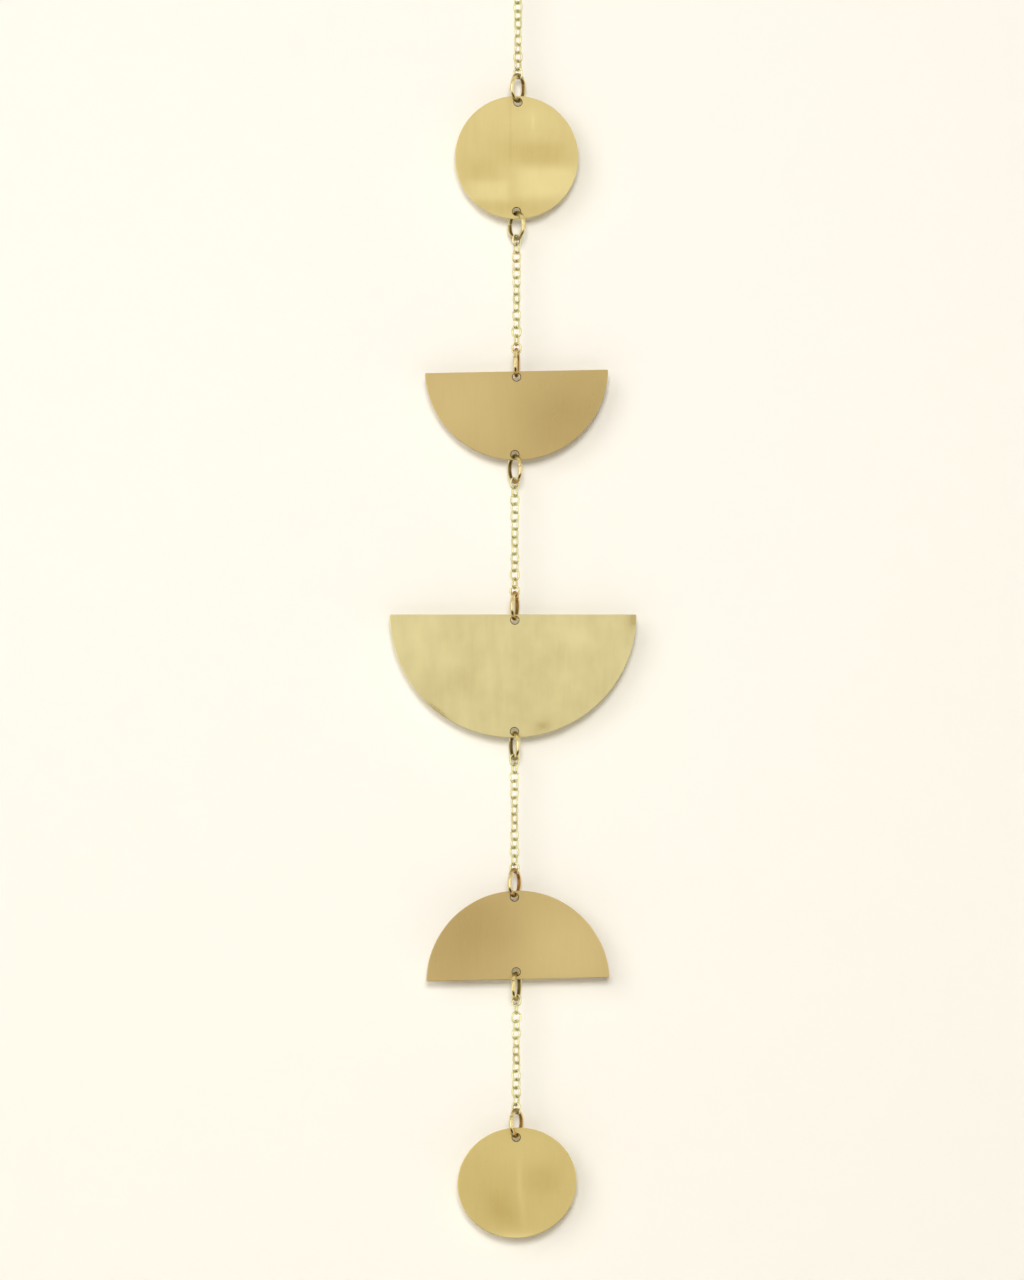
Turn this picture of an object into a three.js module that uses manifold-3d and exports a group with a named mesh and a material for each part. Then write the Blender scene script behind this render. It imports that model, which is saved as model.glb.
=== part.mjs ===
// Moon phase wall hanging: five brass moons on one strand of cable chain, hung from a nail by a plain ring.
// Lengths are millimetres and angles are degrees. +Z is up, +X is right seen from the front, -Y is the front.
// The origin is the point where the nail bears, at the inner top of the hanging ring.
import * as THREE from 'three';
import { mergeVertices } from 'three/addons/utils/BufferGeometryUtils.js';
import Module from 'manifold-3d';

const wasm = await Module();
wasm.setup();

// Sheet brass and the moons cut from it
const sheetThickness = 0.9;
const upperFullMoonDiameter = 38.1;
const smallHalfMoonRadius = 28.3;
const largeHalfMoonRadius = 38.1;
const lowerFullMoonWidth = 36.8;
const lowerFullMoonHeight = 34.1;
const lowerFullMoonTurn = 9.5;

// The saw takes this much off the straight edge of a small half moon
const sawLoss = 0.85;

// Round wire rings
const ringWire = 1.3;
const jumpRingInside = 6.7;
const hangingRingInside = 9.4;

// Cable chain: each link takes a ring and the next link side by side. Links settle slantwise to the front.
// Each keeps part of what the one before is turned away from there, and they sway a little either way.
const linkWire = 0.72;
const linkEndPlay = 0.55;
const linkSidePlay = 0.66;
const hangingChainLinks = 14;
const spanChainLinks = 14;
const linkLay = 45;
const linkSettle = 0.65;
const linkSway = 10;
const swayStep = 137.5;

// The holes: metal left between a hole and the edge, and room for a ring that stands askew in it
const metalAtHole = 0.75;
const thinMetalAtHole = 0.55;
const thickMetalAtHole = 1.2;
const lowerFullMoonMetalAtHole = 1.8;
const askewMost = 32;
const holeRoom = 0.3;

// Pieces that hang in each other stay this far apart, and the links of one chain meet by this much
const slack = 0.15;
const linkBite = 0.06;

// How finely round things are divided
const moonArcSteps = 22;
const holeSides = 10;
const ringSteps = 14;
const ringWireSides = 6;
const linkSteps = 8;
const linkWireSides = 5;

// Sizes that follow from the ones above
const askewWire = ringWire / Math.cos(radians(askewMost)) + sheetThickness * Math.tan(radians(askewMost));
const holeRadius = (askewWire + holeRoom) / 2;
const linkPitch = ringWire + linkWire + linkEndPlay;
const linkInsideLength = linkPitch - linkBite;
const linkInsideWidth = ringWire + linkSidePlay;

function radians(degrees) {
  return THREE.MathUtils.degToRad(degrees);
}

// Finishes: the same brass, each piece as light or dark as it hangs in the light
function brass(colour, roughness) {
  return new THREE.MeshStandardMaterial({ color: colour, roughness, metalness: 1 });
}

const finishes = {
  upperFullMoon: brass('#d9c782', 0.32),
  upperHalfMoon: brass('#c8ae75', 0.34),
  largeHalfMoon: brass('#d6cb8f', 0.36),
  lowerHalfMoon: brass('#c7ad73', 0.34),
  lowerFullMoon: brass('#cdb873', 0.34),
  ring: brass('#c8a550', 0.22),
  chain: brass('#ddd28c', 0.26),
};

// A closed band of round wire round the Y axis. The wire is a polygon of the round wire's area, with one flat
// side on the inside, and the band has a flat at its top and its bottom, where other pieces bear.
function wireBand(insideDiameter, wire, sides, steps) {
  const sideAngle = (2 * Math.PI) / sides;
  const corner = (wire / 2) * Math.sqrt(sideAngle / Math.sin(sideAngle));
  const middle = insideDiameter / 2 + corner * Math.cos(sideAngle / 2);
  const toCorner = 1 / Math.cos(Math.PI / steps);
  const profile = [];
  for (let side = 0; side < sides; side += 1) {
    const angle = Math.PI + (side + 0.5) * sideAngle;
    const reach = middle + corner * Math.cos(angle);
    profile.push(new THREE.Vector2(reach * toCorner, corner * Math.sin(angle)));
  }
  profile.push(profile[0].clone());
  return new THREE.LatheGeometry(profile, steps, Math.PI / steps);
}

// One chain link: a band parted at its sides and drawn out along Z
function linkGeometry() {
  const link = wireBand(linkInsideWidth, linkWire, linkWireSides, linkSteps);
  const drawnOut = (linkInsideLength - linkInsideWidth) / 2;
  const points = link.getAttribute('position');
  for (let i = 0; i < points.count; i += 1) {
    points.setZ(i, points.getZ(i) + Math.sign(points.getZ(i)) * drawnOut);
  }
  return link;
}

// Joins closed geometries into one solid
function fuse(geometries) {
  const solids = geometries.map((geometry) => {
    const bare = geometry.clone();
    bare.deleteAttribute('normal');
    bare.deleteAttribute('uv');
    const merged = mergeVertices(bare);
    const vertProperties = new Float32Array(merged.getAttribute('position').array);
    const triVerts = new Uint32Array(merged.getIndex().array);
    return new wasm.Manifold(new wasm.Mesh({ numProp: 3, vertProperties, triVerts }));
  });
  const whole = solids.reduce((sum, solid) => sum.add(solid)).getMesh();
  const fused = new THREE.BufferGeometry();
  fused.setAttribute('position', new THREE.BufferAttribute(whole.vertProperties, 3));
  fused.setIndex(new THREE.BufferAttribute(whole.triVerts, 1));
  fused.computeVertexNormals();
  return fused;
}

// How far a turn is from the one that links settle at. A link that turns half round looks the same.
function turnFromLay(turn) {
  const away = turn - linkLay;
  return away - 180 * Math.round(away / 180);
}

// A run of links below a ring turned by turnAbove and above one turned by turnBelow. Each link stands across
// the one before, the end links stand across their rings, and no two links between them sway alike.
function chainGeometry(links, turnAbove, turnBelow) {
  const atTop = turnFromLay(turnAbove);
  const atFoot = turnFromLay(turnBelow - 90 * (links - 1));
  const run = [];
  for (let i = 0; i < links; i += 1) {
    const link = linkGeometry();
    const keptFromTop = linkSettle ** i;
    const keptFromFoot = linkSettle ** (links - 1 - i);
    const swayMost = linkSway * (1 - keptFromTop) * (1 - keptFromFoot);
    const sway = swayMost * Math.sin(radians(swayStep * i + turnAbove));
    link.rotateZ(radians(90 * i + linkLay + atTop * keptFromTop + atFoot * keptFromFoot + sway));
    link.translate(0, 0, -linkInsideLength / 2 - i * linkPitch);
    run.push(link);
  }
  return fuse(run);
}

// Outlines, each with the height of its top and its foot from the middle of its round
function fullMoonOutline(width, height, turn) {
  const shape = new THREE.Shape();
  shape.absellipse(0, 0, width / 2, height / 2, 0, 2 * Math.PI, false, radians(turn));
  const reach = Math.hypot((width / 2) * Math.sin(radians(turn)), (height / 2) * Math.cos(radians(turn)));
  return { shape, top: reach, foot: -reach };
}

function halfMoonOutline(radius, loss, straightEdgeUp) {
  const shape = new THREE.Shape();
  const corner = Math.asin(loss / radius);
  if (straightEdgeUp) {
    shape.absarc(0, 0, radius, -corner, -Math.PI + corner, true);
    return { shape, top: -loss, foot: -radius };
  }
  shape.absarc(0, 0, radius, corner, Math.PI - corner, false);
  return { shape, top: radius, foot: loss };
}

// A round hole, with a flat at its top and its bottom, where the ring bears
function holePath(x, z) {
  const corner = holeRadius / Math.cos(Math.PI / holeSides);
  const points = [];
  for (let side = 0; side < holeSides; side += 1) {
    const angle = Math.PI / 2 + ((side + 0.5) * 2 * Math.PI) / holeSides;
    points.push(new THREE.Vector2(x + corner * Math.cos(angle), z + corner * Math.sin(angle)));
  }
  return new THREE.Path(points);
}

// A moon of sheet brass, standing in the XZ plane about the middle of its round
function moonGeometry(outline, holes) {
  const shape = outline.shape;
  holes.forEach((hole) => shape.holes.push(holePath(hole.x, hole.z)));
  const plate = new THREE.ExtrudeGeometry(shape, {
    depth: sheetThickness,
    bevelEnabled: false,
    curveSegments: moonArcSteps,
  });
  plate.translate(0, 0, -sheetThickness / 2);
  plate.rotateX(Math.PI / 2);
  return plate;
}

// The five moons from the top down. A hole's x is from the middle of the moon's round, lean is how far the
// moon leans anticlockwise seen from the front, and ringAbove and ringBelow are how far each ring's front
// swings to the right out of the line of sight. chain names the run of links that the moon hangs on.
const moons = [
  {
    name: 'upper_full_moon',
    outline: fullMoonOutline(upperFullMoonDiameter, upperFullMoonDiameter, 0),
    finish: finishes.upperFullMoon,
    topHole: { x: 0.44, toEdge: metalAtHole },
    footHole: { x: 0, toEdge: thickMetalAtHole },
    lean: 0,
    chain: 'hanging_chain',
    links: hangingChainLinks,
    ringAbove: -27,
    ringBelow: askewMost,
  },
  {
    name: 'upper_half_moon',
    outline: halfMoonOutline(smallHalfMoonRadius, sawLoss, true),
    finish: finishes.upperHalfMoon,
    topHole: { x: 0, toEdge: thinMetalAtHole },
    footHole: { x: -1, toEdge: thinMetalAtHole },
    lean: 1.1,
    chain: 'chain_to_upper_half_moon',
    links: spanChainLinks,
    ringAbove: -6,
    ringBelow: 25,
  },
  {
    name: 'large_half_moon',
    outline: halfMoonOutline(largeHalfMoonRadius, 0, true),
    finish: finishes.largeHalfMoon,
    topHole: { x: 0.56, toEdge: thinMetalAtHole },
    footHole: { x: 0.45, toEdge: metalAtHole },
    lean: 0,
    chain: 'chain_to_large_half_moon',
    links: spanChainLinks,
    ringAbove: -12,
    ringBelow: 16,
  },
  {
    name: 'lower_half_moon',
    outline: halfMoonOutline(smallHalfMoonRadius, sawLoss, false),
    finish: finishes.lowerHalfMoon,
    topHole: { x: -0.5, toEdge: metalAtHole },
    footHole: { x: -0.45, toEdge: thickMetalAtHole },
    lean: 1.25,
    chain: 'chain_to_lower_half_moon',
    links: spanChainLinks,
    ringAbove: -22,
    ringBelow: -14,
  },
  {
    name: 'lower_full_moon',
    outline: fullMoonOutline(lowerFullMoonWidth, lowerFullMoonHeight, lowerFullMoonTurn),
    finish: finishes.lowerFullMoon,
    topHole: { x: -0.22, toEdge: lowerFullMoonMetalAtHole },
    lean: 0,
    chain: 'chain_to_lower_full_moon',
    links: spanChainLinks,
    ringAbove: -24,
  },
];

const hanging = new THREE.Group();

function addMesh(parent, name, geometry, material) {
  const mesh = new THREE.Mesh(geometry, material);
  mesh.name = name;
  parent.add(mesh);
  return mesh;
}

// Each of these hangs a piece with its inner top at the point given, and returns the point inside its foot
// that the next piece hangs on
function hangRing(name, point, inside, turn) {
  const ring = addMesh(hanging, name, wireBand(inside, ringWire, ringWireSides, ringSteps), finishes.ring);
  ring.position.set(point.x, 0, point.z - inside / 2);
  ring.rotation.z = radians(90 + turn);
  return { x: point.x, z: point.z - inside + slack };
}

function hangChain(name, point, links, turnAbove, turnBelow) {
  const chain = addMesh(hanging, name, chainGeometry(links, turnAbove, turnBelow), finishes.chain);
  chain.position.set(point.x, 0, point.z);
  return { x: point.x, z: point.z - (links - 1) * linkPitch - linkInsideLength + slack };
}

function hangMoon(moon, point) {
  const top = { x: moon.topHole.x, z: moon.outline.top - moon.topHole.toEdge - holeRadius };
  const holes = [top];
  if (moon.footHole) {
    holes.push({ x: moon.footHole.x, z: moon.outline.foot + moon.footHole.toEdge + holeRadius });
  }
  const hinge = new THREE.Group();
  hinge.position.set(point.x, 0, point.z - holeRadius);
  hinge.rotation.y = -radians(moon.lean);
  hanging.add(hinge);
  const plate = addMesh(hinge, moon.name, moonGeometry(moon.outline, holes), moon.finish);
  plate.position.set(-top.x, 0, -top.z);
  const foot = holes[holes.length - 1];
  const drop = new THREE.Vector2(foot.x - top.x, foot.z - top.z);
  drop.rotateAround(new THREE.Vector2(0, 0), radians(moon.lean));
  return { x: point.x + drop.x, z: point.z - holeRadius + drop.y - holeRadius + slack };
}

// The hanging ring faces the front, so the first link stands edge on, and the strand goes down from there
const hangingRingTurn = 90;
let point = hangRing('hanging_ring', { x: 0, z: 0 }, hangingRingInside, hangingRingTurn);
let turnAbove = hangingRingTurn;
moons.forEach((moon) => {
  point = hangChain(moon.chain, point, moon.links, turnAbove, moon.ringAbove);
  point = hangRing(`ring_above_${moon.name}`, point, jumpRingInside, moon.ringAbove);
  point = hangMoon(moon, point);
  if (moon.footHole) {
    point = hangRing(`ring_below_${moon.name}`, point, jumpRingInside, moon.ringBelow);
    turnAbove = moon.ringBelow;
  }
});

export default hanging;
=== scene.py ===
"""Moon phase wall hanging: brass moons, jump rings and cable chain on one strand, in front of a pale wall.

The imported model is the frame. Each node is replaced by a finished piece of the same form, in the same place:
sheet brass moons with eased edges, bent wire rings with their cuts, and chain made of single wire links.
Lengths are metres unless a name says otherwise, +Z is up and the front faces -Y.
"""
import logging
import math
from dataclasses import dataclass, field
from enum import Enum

import bpy
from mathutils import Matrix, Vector, noise
from mathutils.geometry import delaunay_2d_cdt


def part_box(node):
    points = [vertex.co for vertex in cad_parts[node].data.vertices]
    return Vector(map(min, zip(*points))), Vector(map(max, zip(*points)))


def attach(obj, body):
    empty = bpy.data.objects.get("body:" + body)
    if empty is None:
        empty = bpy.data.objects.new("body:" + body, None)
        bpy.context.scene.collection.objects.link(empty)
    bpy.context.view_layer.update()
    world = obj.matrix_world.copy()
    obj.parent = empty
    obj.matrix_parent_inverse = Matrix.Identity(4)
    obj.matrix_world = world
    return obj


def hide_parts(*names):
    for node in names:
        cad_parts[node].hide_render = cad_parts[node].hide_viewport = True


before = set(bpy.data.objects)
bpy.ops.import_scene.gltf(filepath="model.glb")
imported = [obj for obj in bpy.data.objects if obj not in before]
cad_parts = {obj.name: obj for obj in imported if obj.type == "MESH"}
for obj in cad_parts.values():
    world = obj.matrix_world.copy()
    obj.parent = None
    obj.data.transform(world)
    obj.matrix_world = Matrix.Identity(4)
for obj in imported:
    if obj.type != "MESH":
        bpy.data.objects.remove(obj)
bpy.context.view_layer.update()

LOG = logging.getLogger("moon_hanging")
MM = 0.001
BODY = "root"

# Sizes of the part, as its source has them
SHEET_THICKNESS = 0.9 * MM
FULL_MOON_RADIUS = 19.05 * MM
SMALL_HALF_RADIUS = 28.3 * MM
LARGE_HALF_RADIUS = 38.1 * MM
OVAL_HALF_WIDTH = 18.4 * MM
OVAL_HALF_HEIGHT = 17.05 * MM
SAW_LOSS = 0.85 * MM
METAL_AT_HOLE = 0.75 * MM
THIN_METAL_AT_HOLE = 0.55 * MM
THICK_METAL_AT_HOLE = 1.2 * MM
OVAL_METAL_AT_HOLE = 1.8 * MM
RING_WIRE = 1.3 * MM
JUMP_RING_INSIDE = 6.7 * MM
HANGING_RING_INSIDE = 9.4 * MM
LINK_WIRE = 0.72 * MM
LINK_END_PLAY = 0.55 * MM
LINK_SIDE_PLAY = 0.66 * MM
LINK_BITE = 0.06 * MM
LINK_PITCH = RING_WIRE + LINK_WIRE + LINK_END_PLAY
LINK_INSIDE_LENGTH = LINK_PITCH - LINK_BITE
LINK_INSIDE_WIDTH = RING_WIRE + LINK_SIDE_PLAY
LINKS = 14
LINK_LAY = 45.0
LINK_SETTLE = 0.65
LINK_SWAY = 10.0
SWAY_STEP = 137.5
SLACK = 0.15 * MM
ASKEW_MOST = math.radians(32)
HOLE_ROOM = 0.3 * MM
HOLE_RADIUS = (RING_WIRE / math.cos(ASKEW_MOST) + SHEET_THICKNESS * math.tan(ASKEW_MOST) + HOLE_ROOM) / 2

# The photograph: how big a pixel is on the strand, and where the nail point would lie in it
PIXEL = 0.3089 * MM
NAIL_COLUMN = 518.0
NAIL_ROW = -68.5
IMAGE_WIDTH = 1024
IMAGE_HEIGHT = 1280

# How a moon's rim is marked for its finish: lighter outside, partly rubbed wear and partly painted highlight,
# and darker in a hole, which is painted shade
RIM_WEAR_AND_HIGHLIGHT_MARK = 1.0
HOLE_SHADE_MARK = 2.0

Colour = tuple[float, float, float, float]


class Phase(Enum):
    """How a moon is cut from its round blank."""

    FULL = "full"
    HALF_EDGE_UP = "half, straight edge up"
    HALF_EDGE_DOWN = "half, straight edge down"


@dataclass(frozen=True)
class Tap:
    """An output socket of a node tree, written into sums as a number would be."""

    tree: bpy.types.NodeTree
    socket: bpy.types.NodeSocket

    def sum(self, operation: str, *terms: "Tap | float") -> "Tap":
        """Adds one Math node.

        Args:
            operation: The node's operation.
            terms: Its inputs in order, as taps or numbers.

        Returns:
            The node's result.
        """
        node = self.tree.nodes.new("ShaderNodeMath")
        node.operation = operation
        for place, term in enumerate(terms):
            if isinstance(term, Tap):
                self.tree.links.new(term.socket, node.inputs[place])
            else:
                node.inputs[place].default_value = term
        return Tap(self.tree, node.outputs[0])

    def __add__(self, other: "Tap | float") -> "Tap":
        """This plus the other."""
        return self.sum("ADD", self, other)

    def __sub__(self, other: "Tap | float") -> "Tap":
        """This less the other."""
        return self.sum("SUBTRACT", self, other)

    def __rsub__(self, other: "Tap | float") -> "Tap":
        """The other less this."""
        return self.sum("SUBTRACT", other, self)

    def __mul__(self, other: "Tap | float") -> "Tap":
        """This times the other."""
        return self.sum("MULTIPLY", self, other)

    def __truediv__(self, other: "Tap | float") -> "Tap":
        """This over the other."""
        return self.sum("DIVIDE", self, other)

    def __rtruediv__(self, other: "Tap | float") -> "Tap":
        """The other over this."""
        return self.sum("DIVIDE", other, self)

    def __pow__(self, other: "Tap | float") -> "Tap":
        """This to the power of the other."""
        return self.sum("POWER", self, other)

    __radd__ = __add__
    __rmul__ = __mul__


@dataclass(frozen=True)
class Bench:
    """A node tree with short calls to add what goes in it."""

    tree: bpy.types.NodeTree

    def node(self, kind: str, inputs: dict | None = None, **settings: object) -> bpy.types.Node:
        """Adds a node, sets it, then fills its sockets.

        Args:
            kind: The node's type.
            inputs: Socket name or number to a tap or a value.
            settings: Its properties, such as an operation.

        Returns:
            The new node.
        """
        made = self.tree.nodes.new(kind)
        for name, value in settings.items():
            setattr(made, name, value)
        self.fill(made, inputs or {})
        return made

    def fill(self, node: bpy.types.Node, inputs: dict) -> None:
        """Fills a node's sockets.

        Args:
            node: The node.
            inputs: Socket name or number to a tap or a value.
        """
        for name, value in inputs.items():
            if isinstance(value, Tap):
                self.tree.links.new(value.socket, node.inputs[name])
            else:
                node.inputs[name].default_value = value

    def tap(self, kind: str, inputs: dict | None = None, output: str | int = 0, **settings: object) -> Tap:
        """Adds a node and reads one of its outputs.

        Args:
            kind: The node's type.
            inputs: Its sockets.
            output: The output's name or number.
            settings: Its properties.

        Returns:
            The output as a tap.
        """
        return Tap(self.tree, self.node(kind, inputs, **settings).outputs[output])

    def parts(self, vector: Tap) -> list[Tap]:
        """The three parts of a vector."""
        return [Tap(self.tree, part) for part in self.node("ShaderNodeSeparateXYZ", {0: vector}).outputs]

    def noise(self, where: Tap, scale: float, detail: float) -> Tap:
        """Soft noise at a place."""
        return self.tap("ShaderNodeTexNoise", {"Vector": where, "Scale": scale, "Detail": detail})

    def mapped(self, where: Tap, **change: object) -> Tap:
        """A place that is moved, turned or scaled, by the inputs of a Mapping node."""
        return self.tap("ShaderNodeMapping", {"Vector": where, **change})

    def mark(self, name: str) -> Tap:
        """A number that the mesh carries on its points."""
        return self.tap("ShaderNodeAttribute", output="Fac", attribute_name=name)

    def store(self, geometry: Tap, name: str, value: Tap, domain: str = "POINT") -> Tap:
        """The geometry with a number stored on it."""
        return self.tap("GeometryNodeStoreNamedAttribute", {
            "Geometry": geometry, "Name": name, "Value": value}, data_type="FLOAT", domain=domain)

    def ramp(self, value: Tap, low: float, high: float) -> Tap:
        """Runs smoothly from 0 where the value is low to 1 where it is high.

        Args:
            value: What to map.
            low: Where the result is 0.
            high: Where the result is 1.

        Returns:
            The mapped value.
        """
        return self.tap("ShaderNodeMapRange", {"Value": value, "From Min": low, "From Max": high},
                        interpolation_type="SMOOTHSTEP")

    def mix(self, factor: Tap, first: "Tap | tuple", second: "Tap | tuple") -> Tap:
        """Mixes two colours.

        Args:
            factor: 0 gives the first colour and 1 the second.
            first: A tap or a linear colour.
            second: A tap or a linear colour.

        Returns:
            The mixed colour.
        """
        return self.tap("ShaderNodeMix", {0: factor, 6: first, 7: second}, output=2,
                        data_type="RGBA", clamp_factor=True)


def new_material(name: str) -> tuple[bpy.types.Material, Bench, bpy.types.Node]:
    """Starts a material.

    Args:
        name: Its name.

    Returns:
        The material, its bench and its shader.
    """
    material = bpy.data.materials.new(name)
    material.use_nodes = True
    return material, Bench(material.node_tree), material.node_tree.nodes["Principled BSDF"]


def add_object(name: str, data: bpy.types.ID) -> bpy.types.Object:
    """Puts a mesh, a light or a camera in the scene, at the origin.

    Args:
        name: The object's name.
        data: What it shows.

    Returns:
        The object.
    """
    made = bpy.data.objects.new(name, data)
    bpy.context.scene.collection.objects.link(made)
    return made


@dataclass(frozen=True)
class ReflectionAndSpotPatch:
    """A patch painted lighter or darker on a moon: most are painted reflection of the room in the metal, a few
    small dark ones are real spots. Lengths are millimetres.

    across and up are its middle, from the middle of the moon's round. wide and tall are its half sizes.
    tone is below 0 for darker, firm is higher for a sharper edge, and slant turns it anticlockwise, in degrees.
    """

    across: float
    up: float
    wide: float
    tall: float
    tone: float
    firm: float = 1.5
    slant: float = 0.0

    def shade(self, across: Tap, up: Tap) -> Tap:
        """What the patch adds to the tone.

        Args:
            across: The way to the right from the middle of the moon's round.
            up: The way up from there.

        Returns:
            The tone at full strength in the patch's middle, fading outwards.
        """
        level, tilt = math.cos(math.radians(self.slant)), math.sin(math.radians(self.slant))
        right = across - self.across * MM
        above = up - self.up * MM
        along = (right * level + above * tilt) / (self.wide * MM)
        aside = (above * level - right * tilt) / (self.tall * MM)
        away = (along * along) ** self.firm + (aside * aside) ** self.firm
        return self.tone / (1.0 + away)


@dataclass(frozen=True)
class MoonBrass:
    """Satin sheet brass: soft clouds of tone, upright rubbing marks, hairline scratches and a few dark nicks,
    with broad patches of painted reflection, painted shade round the holes and a lighter outer rim that is
    partly rubbed wear and partly painted highlight.

    The scales say how fine each texture is, and drawn_out how much longer than wide the marks are.
    """

    moon: str
    light: Colour
    dark: Colour
    reflection_and_spot_patches: tuple[ReflectionAndSpotPatch, ...]
    clouds: float = 0.3
    roughness: float = 0.33
    cloud_scale: float = 95.0
    block_scale: float = 260.0
    rubbing_scale: float = 3200.0
    grain_scale: float = 5200.0
    nick_scale: float = 620.0
    scratch_scale: float = 2600.0
    blocks_drawn_out: float = 0.28
    marks_drawn_out: float = 0.05
    nicked_from: float = 0.86
    scratched_from: float = 0.8
    scratch_slants: tuple[tuple[float, float], ...] = ((24.0, 3.0), (-61.0, 8.0))
    relief: float = 0.01 * MM
    scratched: Colour = (0.95, 0.86, 0.6, 1.0)
    nicked: Colour = (0.16, 0.1, 0.035, 1.0)
    hole_shade_colour: Colour = (0.12, 0.08, 0.015, 1.0)

    def build(self, middle: Vector) -> bpy.types.Material:
        """Makes the material.

        Args:
            middle: The middle of the moon's round, which the patches are placed from.

        Returns:
            The finished material.
        """
        material, bench, shader = new_material(f"{self.moon}_brass")
        placed = bench.mapped(bench.tap("ShaderNodeTexCoord", output="Object"), Location=-middle)
        across, _, up = bench.parts(placed)
        upright = bench.mapped(placed, Scale=(1.0, 1.0, self.blocks_drawn_out))
        blocks = bench.noise(upright, self.block_scale, 2.0) - 0.5
        cloud = bench.noise(placed, self.cloud_scale, 3.0) - 0.5
        tone = (cloud + blocks * 0.6) * self.clouds + 0.5
        # Patches: painted reflection of the room, lighter and darker, besides a few real dark spots.
        for patch in self.reflection_and_spot_patches:
            tone = tone + patch.shade(across, up)
        rubbed = bench.mapped(placed, Scale=(1.0, 1.0, self.marks_drawn_out))
        rubbing = bench.noise(rubbed, self.rubbing_scale, 2.0)
        grain = bench.noise(placed, self.grain_scale, 3.0)
        scratches = self.scratches(bench, placed)
        rim_mark = bench.mark("rim_mark")
        # Lighter outer rim: rubbed wear and painted rim highlight; nicks gather there too.
        edge = bench.ramp(rim_mark, 0.7, RIM_WEAR_AND_HIGHLIGHT_MARK)
        # Painted shade: the metal round each hole darkened.
        hole_shade_mask = bench.ramp(rim_mark, 1.2, HOLE_SHADE_MARK)
        nicks = bench.noise(placed, self.nick_scale, 1.0) + edge * 0.05
        nick = bench.ramp(nicks, self.nicked_from, self.nicked_from + 0.04)
        tone = tone + (rubbing - 0.5) * 0.1 + edge * 0.1
        colour = bench.mix(tone, self.dark, self.light)
        colour = bench.mix(scratches * 0.08, colour, self.scratched)
        colour = bench.mix(nick * 0.6, colour, self.nicked)
        colour = bench.mix(hole_shade_mask * 0.9, colour, self.hole_shade_colour)
        rough = (rubbing - 0.5) * 0.16 + (tone - 0.5) * 0.1 + self.roughness + nick * 0.2 + hole_shade_mask * 0.15
        height = rubbing * 0.5 + grain * 0.3 - scratches * 0.8
        bump = bench.tap("ShaderNodeBump", {"Height": height, "Distance": self.relief, "Strength": 0.6})
        bench.fill(shader, {"Metallic": 1.0, "Base Color": colour, "Roughness": rough, "Normal": bump})
        return material

    def scratches(self, bench: Bench, placed: Tap) -> Tap:
        """Hairline scratches at two slants.

        Args:
            bench: The material's bench.
            placed: Coordinates from the middle of the moon.

        Returns:
            1 in a scratch, 0 elsewhere.
        """
        lines: list[Tap] = []
        for slant, seed in self.scratch_slants:
            slanted = bench.mapped(placed, Rotation=(0.0, math.radians(slant), 0.0))
            drawn = bench.mapped(slanted, Location=(seed, seed, seed), Scale=(1.0, 1.0, self.marks_drawn_out))
            ridge = bench.noise(drawn, self.scratch_scale, 0.0)
            lines.append(bench.ramp(ridge, self.scratched_from, self.scratched_from + 0.03))
        return lines[0] + lines[1]


@dataclass(frozen=True)
class WireBrass:
    """Drawn brass wire: bright, finely lined along its length, reddish here and there, and darker inside its
    links and at a ring's ends: painted shade with some tarnish.

    The field after roughness sets how near its ends a link is darkened inside, the next how dark the ends are;
    both darkenings are painted shade, with some tarnish.
    """

    name: str
    light: Colour
    dark: Colour
    tarnish_and_shade: Colour
    roughness: float
    tarnish_and_shade_from: float = -1.0
    shaded_ends: float = 0.0
    cloud_scale: float = 420.0
    drawn_scale: float = 4200.0
    blush_scale: float = 42.0
    relief: float = 0.008 * MM
    red_tarnish_and_shade: Colour = (0.3, 0.125, 0.03, 1.0)
    reddish: Colour = (0.8, 0.48, 0.24, 1.0)
    glance: Colour = (1.0, 0.84, 0.52, 1.0)

    def build(self) -> bpy.types.Material:
        """Makes the material.

        Returns:
            The finished material.
        """
        material, bench, shader = new_material(self.name)
        coords = bench.tap("ShaderNodeTexCoord", output="Object")
        cloud = bench.noise(coords, self.cloud_scale, 3.0) - 0.5
        drawn = bench.noise(coords, self.drawn_scale, 2.0)
        tone = cloud * 1.1 + 0.6 + (bench.mark("own_tone") - 0.5) * 0.5
        colour = bench.mix(tone, self.dark, self.light)
        to_end = bench.mark("to_end")
        # Painted shade, with some tarnish: the inner side of the wire darker, near the ends of a chain link and
        # all round a ring.
        at_end = bench.ramp(to_end, self.tarnish_and_shade_from, self.tarnish_and_shade_from + 0.5)
        inside = bench.ramp(bench.mark("inward") + cloud * 0.7, 0.1, 0.8) * at_end
        # Painted shade at a ring's ends, where it passes through a hole.
        rubbed = bench.ramp(to_end + cloud * 0.4, 0.84, 1.16) * self.shaded_ends
        tarnish_and_shade_mask = inside.sum("MAXIMUM", inside, rubbed)
        reddened = bench.ramp(bench.noise(coords, self.blush_scale, 1.0), 0.47, 0.62)
        tarnish_and_shade_colour = bench.mix(reddened, self.tarnish_and_shade, self.red_tarnish_and_shade)
        colour = bench.mix(reddened * 0.12, colour, self.reddish)
        colour = bench.mix(tarnish_and_shade_mask * 0.92, colour, tarnish_and_shade_colour)
        rough = self.roughness + (drawn - 0.5) * 0.12 + (0.5 - tone) * 0.1 + tarnish_and_shade_mask * 0.15
        bump = bench.tap("ShaderNodeBump", {"Height": drawn, "Distance": self.relief, "Strength": 0.5})
        bench.fill(shader, {"Metallic": 1.0, "Specular Tint": self.glance, "Base Color": colour,
                            "Roughness": rough, "Normal": bump})
        return material


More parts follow.
